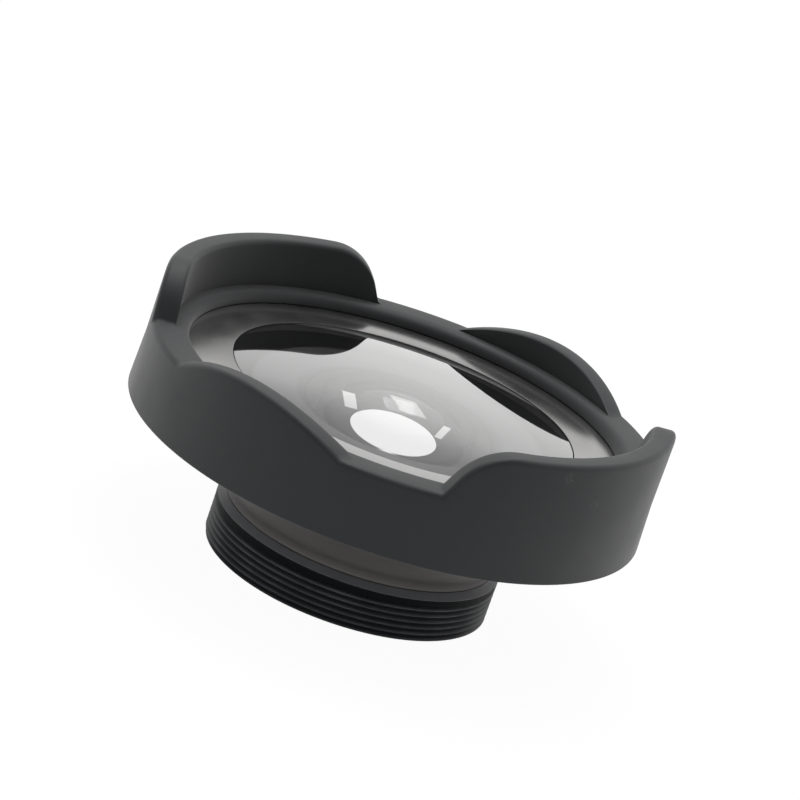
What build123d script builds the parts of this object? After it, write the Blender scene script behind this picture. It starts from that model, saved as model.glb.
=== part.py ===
from build123d import *
import math
import os
from collections import namedtuple

# Screw-on wide-angle lens for a phone, in millimetres, standing on its rear face.
# Z is the optical axis and points at the scene. The origin is the middle of the rear face.

# Mount thread, M22.5 x 0.5, and the plain land above it
THREAD_RADIUS = 11.25
THREAD_PITCH = 0.5
THREAD_DEPTH = 0.614 * THREAD_PITCH
THREAD_START = 0.75
THREAD_TOP = 2.8
LAND_TOP = 3.4
REAR_OPENING = 8.6
REAR_LIP = 0.9

# Barrel, from the neck out to the seat that the hood slides on
TAIL_RADIUS = 9.9
TAIL_BORE = 9.0
NECK_RADIUS = 10.66
NECK_BOTTOM = 3.8
NECK_TOP = 4.2
FLARE_RADIUS = 16.0
SEAT_RADIUS = 17.5
SEAT_BOTTOM = 9.75
BARREL_TOP = 13.8
CELL_SEAT = 6.2
CELL_BORE = 11.2
GLASS_SEAT = 9.2
GLASS_BORE = 14.45
RING_THREAD = 15.95
RING_THREAD_BOTTOM = 12.2
SKIRT_GAP = 0.2

# Front retaining ring, the flat satin ring round the glass
RING_TOP = 14.4
RING_INNER = 13.46
LIP_UNDERSIDE = 14.15
RING_BEVEL = 0.12
RING_INNER_BEVEL = 0.04
GLASS_STEP = 13.75

# Petal hood
HOOD_BOTTOM = 9.6
HOOD_RADIUS = 20.25
HOOD_TOP_RADIUS = 20.05
HOOD_BORE = 17.6
LEDGE_INNER = 17.0
LEDGE_UNDERSIDE = 14.45
LEDGE_ROUND = 0.85
LEDGE_TOP = 15.35
WALL_INNER = 18.3
LOW_TOP = 17.45
TALL_TOP = 19.15
TALL_ANGLES = (148.2, 328.2)
TALL_HALF_ANGLE = 44.1
LOW_ANGLES = (58.2, 238.2)
LOW_HALF_ANGLE = 23.05
END_LEAN = 1.46
CORNER_RADIUS = 3.6
FOOT_RADIUS = 0.5
GAP_REACH = 6.0
SOFT_EDGE = 0.45
BOTTOM_BEVEL = 0.15
CATCH_DEPTH = 0.15

# Rubber ring that grips the hood, in its groove round the seat
GRIP_HEIGHT = 11.5
GRIP_RADIUS = 17.1
GRIP_CORD = 0.46
GROOVE_RADIUS = 16.62
GROOVE_HALF_WIDTH = 0.55

# Clearance between screwed or slid parts, on the radius
FIT = 0.05

# How far a cutter runs past what it cuts
PAST = 1.0

# Rear group: the cell and what is stacked in it
CELL_RADIUS = TAIL_BORE - FIT
CELL_BOTTOM = 1.3
SHIM = 0.15
FLANGE_BOTTOM = CELL_SEAT + SHIM
FLANGE_TOP = 7.5
LOCK_RING_TOP = 8.5
NOSE_RADIUS = 9.9
NOSE_BEVEL = 0.5
NOSE_TOP = 9.3
STACK_BORE = 6.95
STACK_RADIUS = STACK_BORE - FIT
STACK_STOP = 7.0
STACK_STOP_INNER = 6.5
DOME_SEAT = 7.4
DOME_BORE = 8.05
DOME_RADIUS = DOME_BORE - FIT
DOME_RING_BORE = 8.75
DOME_RING_CONE = 0.8
DOME_RIM_TOP = 7.95
REAR_RING_BORE = 7.7
REAR_RING_CONE = 0.5
REAR_GLASS_SEAT = 2.15
REAR_GLASS_TOP = 3.3
SPACER_TOP = 4.3
STOP_WASHER_TOP = 4.45
CEMENT_EDGE = 6.3
STOP_APERTURE = 3.78
SPACER_BORE = 4.6
SLOT_WIDTH = 1.0
SLOT_DEPTH = 0.45

# A spherical glass face: the height where it ends, its radius of curvature,
# positive with the centre behind the face, and how far out from the axis it reaches
Surface = namedtuple("Surface", "edge curvature reach")

FRONT_FACE = Surface(edge=14.36, curvature=130.0, reach=13.4)
FRONT_BOWL = Surface(edge=9.45, curvature=8.85, reach=7.88)
DOME_FACE = Surface(edge=DOME_RIM_TOP, curvature=11.2, reach=7.5)
DOME_BOWL = Surface(edge=DOME_SEAT, curvature=60.0, reach=6.45)
CROWN_FACE = Surface(edge=STACK_STOP, curvature=33.0, reach=6.45)
CEMENT_FACE = Surface(edge=CEMENT_EDGE, curvature=-30.0, reach=STACK_RADIUS)
FLINT_REAR = Surface(edge=STOP_WASHER_TOP, curvature=60.0, reach=6.3)
EYE_FACE = Surface(edge=REAR_GLASS_TOP, curvature=40.0, reach=6.5)
EYE_REAR = Surface(edge=REAR_GLASS_SEAT, curvature=-20.0, reach=6.1)


def turned(*corners):
    """Spins a closed section of (radius, height) corners about the optical axis."""
    return revolve(Plane.XZ * make_face(Polyline(*corners, close=True)), Axis.Z)


def ring(inner, outer, bottom, top):
    """A plain ring between two radii and two heights."""
    return turned((inner, bottom), (outer, bottom), (outer, top), (inner, top))


def face_height(surface, radius):
    """Height of a spherical glass face at a distance from the axis."""

    def drop(distance):
        fall = abs(surface.curvature) - math.sqrt(surface.curvature**2 - distance**2)
        return math.copysign(fall, surface.curvature)

    return surface.edge + drop(surface.reach) - drop(radius)


def face_arc(surface):
    """Section of a spherical glass face, from the axis out to its reach."""
    places = (0, surface.reach / 2, surface.reach)
    return ThreePointArc(*[(place, face_height(surface, place)) for place in places])


def glass(front, rear, *rim):
    """A lens element: two spherical faces joined by the corners of its rim, front to rear."""
    front_end = (front.reach, front.edge)
    rear_end = (rear.reach, rear.edge)
    outline = [
        face_arc(front),
        Polyline(front_end, *rim, rear_end),
        face_arc(rear),
        Line((0, face_height(rear, 0)), (0, face_height(front, 0))),
    ]
    return revolve(Plane.XZ * make_face(outline), Axis.Z)


def spanner_slots(piece, radius, face):
    """Cuts two opposite slots for a pin spanner into one face of a screwed ring."""
    for angle in (0, 180):
        slot = Pos(radius, 0, face) * Box(2 * PAST, SLOT_WIDTH, 2 * SLOT_DEPTH)
        piece = piece - Rot(0, 0, angle) * slot
    return piece


def mount_thread_ring():
    """Black ring with the thread that screws into a phone case, and the plain land above it."""
    core = THREAD_RADIUS - THREAD_DEPTH
    body = turned(
        (TAIL_RADIUS + FIT, REAR_LIP),
        (REAR_OPENING, REAR_LIP),
        (REAR_OPENING, 0),
        (core, 0),
        (core, THREAD_TOP),
        (THREAD_RADIUS, THREAD_TOP),
        (THREAD_RADIUS, LAND_TOP),
        (NECK_RADIUS, NECK_BOTTOM),
        (TAIL_RADIUS + FIT, NECK_BOTTOM),
    )
    buried = 0.05
    flank = math.tan(math.radians(30))
    crest = THREAD_RADIUS - 0.01
    crest_half = THREAD_PITCH / 16
    root_half = crest_half + (crest - core + buried) * flank
    start = -THREAD_START * THREAD_PITCH
    profile = Polyline(
        (core - buried, start - root_half),
        (crest, start - crest_half),
        (crest, start + crest_half),
        (core - buried, start + root_half),
        close=True,
    )
    climb = THREAD_TOP - start + THREAD_PITCH / 2
    path = Helix(THREAD_PITCH, climb, core - buried, center=(0, 0, start))
    ridge = sweep(Plane.XZ * make_face(profile), path=path, is_frenet=True)
    beyond = THREAD_RADIUS + PAST
    lead_in = turned(
        (core - 2 * buried, 0),
        (core - 2 * buried, -PAST),
        (beyond, -PAST),
        (beyond, beyond - core),
        (core, 0),
    )
    below = ring(REAR_OPENING, beyond, -PAST, 0)
    return body + ridge - lead_in - below


def main_barrel():
    """Turned aluminium body: threaded tail, neck, flare, hood seat and front bore."""
    groove_low = GRIP_HEIGHT - GROOVE_HALF_WIDTH
    groove_high = GRIP_HEIGHT + GROOVE_HALF_WIDTH
    flare_sag = 0.35
    middle = ((NECK_RADIUS + FLARE_RADIUS) / 2 - flare_sag, (NECK_TOP + SEAT_BOTTOM) / 2 + flare_sag)
    outline = [
        Polyline(
            (TAIL_BORE, REAR_LIP),
            (TAIL_RADIUS, REAR_LIP),
            (TAIL_RADIUS, NECK_BOTTOM),
            (NECK_RADIUS, NECK_BOTTOM),
            (NECK_RADIUS, NECK_TOP),
        ),
        ThreePointArc((NECK_RADIUS, NECK_TOP), middle, (FLARE_RADIUS, SEAT_BOTTOM)),
        Polyline(
            (FLARE_RADIUS, SEAT_BOTTOM),
            (SEAT_RADIUS, SEAT_BOTTOM),
            (SEAT_RADIUS, groove_low),
            (GROOVE_RADIUS, groove_low),
            (GROOVE_RADIUS, groove_high),
            (SEAT_RADIUS, groove_high),
            (SEAT_RADIUS, BARREL_TOP),
            (RING_THREAD, BARREL_TOP),
            (RING_THREAD, RING_THREAD_BOTTOM),
            (GLASS_BORE, RING_THREAD_BOTTOM),
            (GLASS_BORE, GLASS_SEAT),
            (CELL_BORE, GLASS_SEAT),
            (CELL_BORE, CELL_SEAT),
            (TAIL_BORE, CELL_SEAT),
            (TAIL_BORE, REAR_LIP),
        ),
    ]
    return revolve(Plane.XZ * make_face(outline), Axis.Z)


def front_retaining_ring():
    """Flat front ring: a flange over the barrel's end, a threaded skirt and a lip over the glass."""
    skirt_end = RING_THREAD_BOTTOM + SKIRT_GAP
    return turned(
        (RING_INNER, LIP_UNDERSIDE),
        (RING_INNER, RING_TOP - RING_INNER_BEVEL),
        (RING_INNER + RING_INNER_BEVEL, RING_TOP),
        (SEAT_RADIUS - RING_BEVEL, RING_TOP),
        (SEAT_RADIUS, RING_TOP - RING_BEVEL),
        (SEAT_RADIUS, BARREL_TOP),
        (RING_THREAD - FIT, BARREL_TOP),
        (RING_THREAD - FIT, skirt_end),
        (GLASS_BORE + FIT, skirt_end),
        (GLASS_BORE + FIT, LIP_UNDERSIDE),
    )


def front_element():
    """Large front glass: nearly flat outside, a deep bowl behind, a ground step for its seal."""
    rim = GLASS_BORE - FIT
    return glass(
        FRONT_FACE,
        FRONT_BOWL,
        (FRONT_FACE.reach, GLASS_STEP),
        (rim, GLASS_STEP),
        (rim, FRONT_BOWL.edge),
    )


def front_seal_ring():
    """Rubber seal squeezed between the retaining ring's lip and the ground step of the glass."""
    return ring(FRONT_FACE.reach + FIT, GLASS_BORE - FIT, GLASS_STEP, LIP_UNDERSIDE)


def front_seat_washer():
    """Black film washer between the front glass and its seat in the barrel."""
    return ring(CELL_BORE, GLASS_BORE - FIT, GLASS_SEAT, FRONT_BOWL.edge)


def lens_cell():
    """Black tube that holds the rear group, with a flange to seat it and a nose for the dome."""
    return turned(
        (REAR_RING_BORE, CELL_BOTTOM),
        (CELL_RADIUS, CELL_BOTTOM),
        (CELL_RADIUS, FLANGE_BOTTOM),
        (CELL_BORE - FIT, FLANGE_BOTTOM),
        (CELL_BORE - FIT, FLANGE_TOP),
        (NOSE_RADIUS, FLANGE_TOP),
        (NOSE_RADIUS, LOCK_RING_TOP),
        (NOSE_RADIUS - NOSE_BEVEL, NOSE_TOP),
        (DOME_RING_BORE, NOSE_TOP),
        (DOME_RING_BORE, DOME_RIM_TOP),
        (DOME_BORE, DOME_RIM_TOP),
        (DOME_BORE, DOME_SEAT),
        (STACK_STOP_INNER, DOME_SEAT),
        (STACK_STOP_INNER, STACK_STOP),
        (STACK_BORE, STACK_STOP),
        (STACK_BORE, REAR_GLASS_SEAT),
        (REAR_RING_BORE, REAR_GLASS_SEAT),
    )


def cell_shim():
    """Thin washer under the cell's flange that sets the air gap to the front glass."""
    return ring(TAIL_BORE, CELL_BORE - FIT, CELL_SEAT, FLANGE_BOTTOM)


def cell_lock_ring():
    """Threaded ring that holds the cell down in the barrel."""
    inner = NOSE_RADIUS + FIT
    outer = CELL_BORE - FIT
    blank = ring(inner, outer, FLANGE_TOP, LOCK_RING_TOP)
    return spanner_slots(blank, (inner + outer) / 2, LOCK_RING_TOP)


def second_element():
    """Domed second glass."""
    return glass(DOME_FACE, DOME_BOWL, (DOME_RADIUS, DOME_FACE.edge), (DOME_RADIUS, DOME_BOWL.edge))


def dome_retaining_ring():
    """Threaded ring in the cell's nose that holds the domed glass."""
    return turned(
        (DOME_FACE.reach, DOME_RIM_TOP),
        (DOME_RING_BORE - FIT, DOME_RIM_TOP),
        (DOME_RING_BORE - FIT, NOSE_TOP),
        (DOME_FACE.reach + DOME_RING_CONE, NOSE_TOP),
    )


def doublet_crown():
    """Front half of the cemented pair."""
    return glass(CROWN_FACE, CEMENT_FACE, (STACK_RADIUS, CROWN_FACE.edge))


def doublet_flint():
    """Rear half of the cemented pair."""
    return glass(CEMENT_FACE, FLINT_REAR, (STACK_RADIUS, FLINT_REAR.edge))


def stop_washer():
    """Black film with the stop aperture, behind the cemented pair."""
    return ring(STOP_APERTURE, STACK_RADIUS, SPACER_TOP, STOP_WASHER_TOP)


def rear_spacer():
    """Black spacer between the stop and the rear glass, bored as a cone."""
    return turned(
        (EYE_FACE.reach, REAR_GLASS_TOP),
        (STACK_RADIUS, REAR_GLASS_TOP),
        (STACK_RADIUS, SPACER_TOP),
        (SPACER_BORE, SPACER_TOP),
    )


def rear_element():
    """Rear glass, next to the phone's own lens."""
    return glass(EYE_FACE, EYE_REAR, (STACK_RADIUS, EYE_FACE.edge), (STACK_RADIUS, EYE_REAR.edge))


def rear_retaining_ring():
    """Threaded ring with spanner slots that closes the cell from behind."""
    outer = REAR_RING_BORE - FIT
    blank = turned(
        (EYE_REAR.reach + REAR_RING_CONE, CELL_BOTTOM),
        (outer, CELL_BOTTOM),
        (outer, REAR_GLASS_SEAT),
        (EYE_REAR.reach, REAR_GLASS_SEAT),
    )
    return spanner_slots(blank, (EYE_REAR.reach + outer) / 2, CELL_BOTTOM)


def hood_friction_ring():
    """Rubber ring round the seat: it grips the hood's bore and turns with it."""
    return Pos(0, 0, GRIP_HEIGHT) * Torus(GRIP_RADIUS, GRIP_CORD)


def petal_window(angle, outline):
    """Radial cutter over the hood's wall: an outline of (sideways, height), seen from outside."""
    inward = LEDGE_INNER - 2 * PAST
    outward = HOOD_RADIUS + 3 * PAST
    direction = Vector(1, 0, 0).rotate(Axis.Z, angle)
    seen = Plane(origin=direction * inward, x_dir=direction.rotate(Axis.Z, 90), z_dir=direction)
    return extrude(seen * make_face(outline), outward - inward)


def tall_shoulder(petal_angle, side):
    """Cutter beside a tall petal: its round corner, its leaning end and the foot in the gap."""
    above = TALL_TOP + PAST
    inboard = 8.0
    corners = [(-GAP_REACH, LEDGE_TOP), (0, LEDGE_TOP), (END_LEAN, TALL_TOP), (inboard, TALL_TOP)]
    rise = FilletPolyline(*[(x * side, z) for x, z in corners], radius=[FOOT_RADIUS, CORNER_RADIUS])
    over = Polyline(
        (inboard * side, TALL_TOP),
        (inboard * side, above),
        (-GAP_REACH * side, above),
        (-GAP_REACH * side, LEDGE_TOP),
    )
    return petal_window(petal_angle - TALL_HALF_ANGLE * side, [rise, over])


def low_arch(petal_angle):
    """Cutter over a low petal: one round arch between its two feet."""
    above = TALL_TOP + PAST
    foot = HOOD_TOP_RADIUS * math.sin(math.radians(LOW_HALF_ANGLE))
    reach = foot + 4 * PAST
    outline = [
        Line((-reach, LEDGE_TOP), (-foot, LEDGE_TOP)),
        ThreePointArc((-foot, LEDGE_TOP), (0, LOW_TOP), (foot, LEDGE_TOP)),
        Polyline((foot, LEDGE_TOP), (reach, LEDGE_TOP), (reach, above), (-reach, above), (-reach, LEDGE_TOP)),
    ]
    return petal_window(petal_angle, outline)


def on_outer_rim(edge):
    """Whether an edge runs along the top of the hood's outer face, over a petal or in a gap."""
    places = [edge.position_at(share) for share in (0, 0.5, 1)]
    near = 0.1
    return all(
        place.Z > LEDGE_TOP - near and math.hypot(place.X, place.Y) > HOOD_TOP_RADIUS - near
        for place in places
    )


def on_ledge_lip(edge):
    """Whether an edge is on the inner top corner of the ledge."""
    place = edge.position_at(0.5)
    near = 0.1
    return place.Z > LEDGE_TOP - near and math.hypot(place.X, place.Y) < LEDGE_INNER + near


def petal_hood():
    """Soft-touch hood with two tall and two low petals, its bore and the ledge that stops it."""
    hood = turned(
        (LEDGE_INNER, LEDGE_TOP),
        (LEDGE_INNER, LEDGE_UNDERSIDE),
        (HOOD_BORE, LEDGE_UNDERSIDE),
        (HOOD_BORE, GRIP_HEIGHT + GRIP_CORD),
        (HOOD_BORE + CATCH_DEPTH, GRIP_HEIGHT),
        (HOOD_BORE, GRIP_HEIGHT - GRIP_CORD),
        (HOOD_BORE, HOOD_BOTTOM + BOTTOM_BEVEL),
        (HOOD_BORE + BOTTOM_BEVEL, HOOD_BOTTOM),
        (HOOD_RADIUS - BOTTOM_BEVEL, HOOD_BOTTOM),
        (HOOD_RADIUS, HOOD_BOTTOM + BOTTOM_BEVEL),
        (HOOD_TOP_RADIUS, TALL_TOP),
        (WALL_INNER, TALL_TOP),
        (WALL_INNER, LEDGE_TOP),
    )
    for angle in TALL_ANGLES:
        for side in (-1, 1):
            hood = hood - tall_shoulder(angle, side)
    for angle in LOW_ANGLES:
        hood = hood - low_arch(angle)
    hood = fillet(hood.edges().filter_by(on_outer_rim), SOFT_EDGE)
    return fillet(hood.edges().filter_by(on_ledge_lip), LEDGE_ROUND)


PIECES = [
    petal_hood,
    hood_friction_ring,
    main_barrel,
    front_retaining_ring,
    front_seal_ring,
    front_element,
    front_seat_washer,
    cell_lock_ring,
    cell_shim,
    lens_cell,
    dome_retaining_ring,
    second_element,
    doublet_crown,
    doublet_flint,
    stop_washer,
    rear_spacer,
    rear_element,
    rear_retaining_ring,
    mount_thread_ring,
]

os.makedirs("parts", exist_ok=True)
for make in PIECES:
    piece = make()
    export_step(piece, f"parts/{make.__name__}.step")
    print(make.__name__, round(piece.volume, 2), piece.is_valid)
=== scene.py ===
import logging
import math
from dataclasses import dataclass
from enum import Enum
from typing import Callable, Iterable, Mapping, Sequence

import bpy
from mathutils import Matrix, Quaternion, Vector


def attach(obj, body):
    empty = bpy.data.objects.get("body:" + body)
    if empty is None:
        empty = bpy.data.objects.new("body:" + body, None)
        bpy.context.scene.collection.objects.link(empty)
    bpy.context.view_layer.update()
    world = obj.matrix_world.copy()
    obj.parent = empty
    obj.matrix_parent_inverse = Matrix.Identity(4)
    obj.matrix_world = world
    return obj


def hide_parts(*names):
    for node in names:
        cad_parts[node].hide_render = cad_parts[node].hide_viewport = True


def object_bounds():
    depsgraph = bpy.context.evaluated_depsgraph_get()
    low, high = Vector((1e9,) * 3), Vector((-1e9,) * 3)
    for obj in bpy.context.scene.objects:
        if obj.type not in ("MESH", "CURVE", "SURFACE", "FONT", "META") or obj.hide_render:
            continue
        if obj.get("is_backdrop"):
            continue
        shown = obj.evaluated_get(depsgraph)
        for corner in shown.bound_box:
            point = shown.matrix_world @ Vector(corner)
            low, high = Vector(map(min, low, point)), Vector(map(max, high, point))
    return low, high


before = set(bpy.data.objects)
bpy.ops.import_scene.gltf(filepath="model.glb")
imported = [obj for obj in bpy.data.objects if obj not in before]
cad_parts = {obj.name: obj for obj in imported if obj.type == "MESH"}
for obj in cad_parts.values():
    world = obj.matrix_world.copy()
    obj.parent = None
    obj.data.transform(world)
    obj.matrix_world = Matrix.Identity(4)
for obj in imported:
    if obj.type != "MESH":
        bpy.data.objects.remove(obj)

Point = tuple[float, float]
Place = tuple[float, float, float]
Colour = tuple[float, float, float, float]
Values = Mapping[int | str, object]
Socket = bpy.types.NodeSocket
Material = bpy.types.Material
Piece = bpy.types.Object
MM = 0.001
log = logging.getLogger("phone_lens")


class Body(Enum):
    """The rigid bodies that the pieces ride on."""

    BARREL = "barrel"
    FRICTION_RING = "friction_ring"
    HOOD = "hood"


class Slot(Enum):
    """Material slot names."""

    SOFT_TOUCH = "soft_touch"
    RUBBER = "rubber"
    BARREL = "barrel_anodised"
    BEZEL = "bezel_anodised"
    GLASS = "coated_glass"
    FILM = "black_film"
    INNER = "inner_anodised"
    SHIM = "bare_shim"
    THREAD = "thread_anodised"


# Shader maths


class Signal:
    """A shader value with arithmetic: every operation adds one Math node."""

    def __init__(self, shader: "Shader", socket: Socket) -> None:
        """Wraps the output socket that carries a value."""
        self.shader = shader
        self.socket = socket

    def _join(self, operation: str, *others: "Signal | float") -> "Signal":
        """Adds a Math node that works on this value and others, in that order."""
        values = dict(enumerate((self, *others)))
        return self.shader.signal("Math", values, operation=operation)

    def __add__(self, other: "Signal | float") -> "Signal":
        """self + other."""
        return self._join("ADD", other)

    def __sub__(self, other: "Signal | float") -> "Signal":
        """self - other."""
        return self._join("SUBTRACT", other)

    def __rsub__(self, other: float) -> "Signal":
        """other - self."""
        return (self * -1.0) + other

    def __mul__(self, other: "Signal | float") -> "Signal":
        """self * other."""
        return self._join("MULTIPLY", other)

    def __pow__(self, other: "Signal | float") -> "Signal":
        """self ** other."""
        return self._join("POWER", other)

    def floor_at(self, other: "Signal | float") -> "Signal":
        """The larger of self and other."""
        return self._join("MAXIMUM", other)

    def cap_at(self, other: "Signal | float") -> "Signal":
        """The smaller of self and other."""
        return self._join("MINIMUM", other)


class Shader:
    """A node tree under construction, for a material or for the world."""

    def __init__(self, owner: Material | bpy.types.World) -> None:
        """Empties the owner's node tree.

        Args:
            owner: The material or world that gets the nodes.
        """
        owner.use_nodes = True
        self.tree = owner.node_tree
        self.tree.nodes.clear()

    def add(self, kind: str, values: Values | None = None, **settings: object) -> bpy.types.Node:
        """Adds a node of any kind.

        Args:
            kind: The node's type, without the words that all types start with.
            values: A number, colour, Signal or socket for each input.
            settings: The node's own properties, set first.

        Returns:
            The new node.
        """
        node = self.tree.nodes.new("ShaderNode" + kind)
        for name, setting in settings.items():
            setattr(node, name, setting)
        for place, value in (values or {}).items():
            if isinstance(value, Signal):
                value = value.socket
            if isinstance(value, Socket):
                self.tree.links.new(value, node.inputs[place])
            else:
                node.inputs[place].default_value = value
        return node

    def socket(self, kind: str, values: Values) -> Socket:
        """Adds a node and gives its first output."""
        return self.add(kind, values).outputs[0]

    def signal(
        self, kind: str, values: Values | None = None, output: int | str = 0, **settings: object
    ) -> Signal:
        """Adds a node and wraps one of its outputs, given by name or number."""
        return Signal(self, self.add(kind, values, **settings).outputs[output])

    def noise(self, vector: Socket, scale: float, detail: float, distortion: float = 0.0) -> Signal:
        """Noise from 0 to 1; the scale is in features to the metre, the detail in octaves."""
        values = {"Vector": vector, "Scale": scale, "Detail": detail, "Distortion": distortion}
        return self.signal("TexNoise", values)

    def ramp(self, value: Signal, low: float, high: float, start: float = 0.0, end: float = 1.0) -> Signal:
        """Maps a value's range from low to high smoothly onto the range from start to end."""
        values = {0: value, 1: low, 2: high, 3: start, 4: end}
        return self.signal("MapRange", values, interpolation_type="SMOOTHSTEP")

    def blend(self, share: Signal | float, first: object, second: object) -> Socket:
        """Mixes two colours or colour sockets by the share of the second."""
        node = self.add("Mix", {0: share, 6: first, 7: second}, data_type="RGBA")
        return node.outputs[2]

    def split(self, vector: Socket) -> tuple[Signal, ...]:
        """The three parts of a vector."""
        node = self.add("SeparateXYZ", {0: vector})
        return tuple(Signal(self, node.outputs[axis]) for axis in range(3))

    def place(self) -> tuple[Socket, Signal, Signal, Signal]:
        """Object coordinates: the vector, then its X, Y and Z in metres."""
        vector = self.add("TexCoord").outputs["Object"]
        return (vector, *self.split(vector))

    def bump(self, height: Signal, distance: float, strength: float) -> Socket:
        """Turns a height into a normal; the distance is what a height of 1 stands for, in metres."""
        values = {"Strength": strength, "Distance": distance, "Height": height}
        return self.socket("Bump", values)

    def principled(self, values: Values) -> Socket:
        """Adds a Principled shader with the given inputs."""
        return self.socket("BsdfPrincipled", values)

    def mix(self, share: Signal, first: Socket, second: Socket) -> Socket:
        """Mixes two shaders by the share of the second."""
        return self.socket("MixShader", {0: share, 1: first, 2: second})

    def finish(self, surface: Socket) -> None:
        """Wires a surface or background shader to the output."""
        owner = "World" if self.tree.id_data.name in bpy.data.worlds else "Material"
        self.add(f"Output{owner}", {"Surface": surface})

    def finish_clear(self, surface: Socket) -> None:
        """Wires a glass to the output and lets lamps shine through it.

        Args:
            surface: The shader's socket.
        """
        clear = self.socket("BsdfTransparent", {0: grey(0.9)})
        shadow = self.signal("LightPath", output="Is Shadow Ray")
        self.finish(self.mix(shadow, surface, clear))


def new_material(name: str) -> tuple[Material, Shader]:
    """Starts a node material and hands it back with its shader builder."""
    material = bpy.data.materials.new(name)
    return material, Shader(material)


def grey(level: float) -> Colour:
    """An even grey as a colour."""
    return (level, level, level, 1.0)


def darkened(colour: Colour, share: float) -> Colour:
    """A colour with its light cut to a share."""
    return (*(part * share for part in colour[:3]), 1.0)


# Finishes


@dataclass(frozen=True)
class SoftTouch:
    """Matt rubbery coating of the hood: a fine tooth, faint clouds and a few rubbed spots."""

    dark: Colour = (0.0105, 0.0118, 0.0131, 1.0)
    pale: Colour = (0.0150, 0.0164, 0.0178, 1.0)
    rubbed: Colour = (0.055, 0.056, 0.058, 1.0)
    marks: tuple[Place, ...] = ((13.02, -15.31, 18.15), (15.46, -12.85, 16.14))
    mark_core: float = 0.1
    mark_reach: float = 0.8
    cloud_scale: float = 260.0
    tooth_scale: float = 11000.0
    streak_scale: float = 2600.0
    tooth_depth: float = 0.012 * MM

    def build(self) -> Material:
        """Builds the finish's nodes.

        Returns:
            The material.
        """
        material, shader = new_material("soft_touch_black")
        vector, x, y, z = shader.place()
        clouds = shader.noise(vector, self.cloud_scale, 3.0)
        tooth = shader.noise(vector, self.tooth_scale, 2.0)
        colour = shader.blend(shader.ramp(clouds, 0.3, 0.75), self.dark, self.pale)
        streaks = shader.noise(vector, self.streak_scale, 3.0, 1.5)
        for across, depth, height in self.marks:
            away = (x - across * MM) ** 2.0 + (y - depth * MM) ** 2.0 + (z - height * MM) ** 2.0
            near = shader.ramp(away ** 0.5, self.mark_core * MM, self.mark_reach * MM, 1.0, 0.0)
            colour = shader.blend(near * shader.ramp(streaks, 0.45, 0.65, 0.0, 0.5), colour, self.rubbed)
        roughness = shader.ramp(clouds + tooth * 0.3, 0.3, 1.0, 0.52, 0.66)
        bump = shader.bump(tooth, self.tooth_depth, 0.35)
        surface = shader.principled(
            {
                "Base Color": colour,
                "Roughness": roughness,
                "Specular IOR Level": 0.32,
                "Sheen Weight": 0.17,
                "Sheen Roughness": 0.5,
                "Normal": bump,
            }
        )
        shader.finish(surface)
        return material


@dataclass(frozen=True)
class TurnedMetal:
    """Anodised or bare metal, turned on a lathe, with fine rings round the axis, and optionally a painted
    highlight on the outermost radii, where thread crests catch light.
    """

    name: str
    colour: Colour
    shade: float = 0.8
    roughness: float = 0.35
    lines: float = 9000.0
    line_depth: float = 0.001 * MM
    metallic: float = 1.0
    specular: float = 0.5
    # crest: radii in millimetres where a painted highlight is blended in; crest_highlight_colour is the
    # colour of that painted highlight
    crest: Point | None = None
    crest_highlight_colour: Colour = (0.1, 0.1, 0.1, 1.0)
    cloud_scale: float = 420.0

    def build(self) -> Material:
        """Builds the finish's nodes.

        Returns:
            The material.
        """
        material, shader = new_material(self.name)
        vector, x, y, z = shader.place()
        radius = (x * x + y * y) ** 0.5
        section = shader.socket("CombineXYZ", {0: radius, 2: z})
        rings = shader.noise(section, self.lines, 3.0)
        clouds = shader.noise(vector, self.cloud_scale, 2.0)
        darker = darkened(self.colour, self.shade)
        colour = shader.blend(rings * 0.6 + clouds * 0.4, darker, self.colour)
        # Painted highlight: a lighter colour over the outermost radii, mottled by the clouds, for the light
        # that thread crests catch
        if self.crest:
            low, high = self.crest
            crest_highlight = shader.ramp(radius, low * MM, high * MM) * shader.ramp(clouds, 0.3, 0.7, 0.5, 1.0)
            colour = shader.blend(crest_highlight, colour, self.crest_highlight_colour)
        roughness = shader.ramp(rings + clouds, 0.6, 1.4, self.roughness * 0.85, self.roughness * 1.15)
        surface = shader.principled(
            {
                "Base Color": colour,
                "Metallic": self.metallic,
                "Roughness": roughness,
                "Specular IOR Level": self.specular,
                "Normal": shader.bump(rings, self.line_depth, 0.5),
            }
        )
        shader.finish(surface)
        return material


@dataclass(frozen=True)
class Matt:
    """A matt black or plain surface: rubber, film, lacquer or foil."""

    name: str
    colour: Colour
    roughness: float = 0.6
    grain: float = 6000.0
    depth: float = 0.004 * MM
    metallic: float = 0.0
    specular: float = 0.4
    shade: float = 0.7
    cloud_scale: float = 500.0

    def build(self) -> Material:
        """Builds the finish's nodes.

        Returns:
            The material.
        """
        material, shader = new_material(self.name)
        vector, *_ = shader.place()
        grain = shader.noise(vector, self.grain, 3.0)
        clouds = shader.noise(vector, self.cloud_scale, 2.0)
        darker = darkened(self.colour, self.shade)
        surface = shader.principled(
            {
                "Base Color": shader.blend(clouds * 0.7 + grain * 0.3, darker, self.colour),
                "Metallic": self.metallic,
                "Roughness": shader.ramp(clouds, 0.2, 0.8, self.roughness * 0.9, self.roughness * 1.1),
                "Specular IOR Level": self.specular,
                "Normal": shader.bump(grain, self.depth, 0.5),
            }
        )
        shader.finish(surface)
        return material


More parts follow.
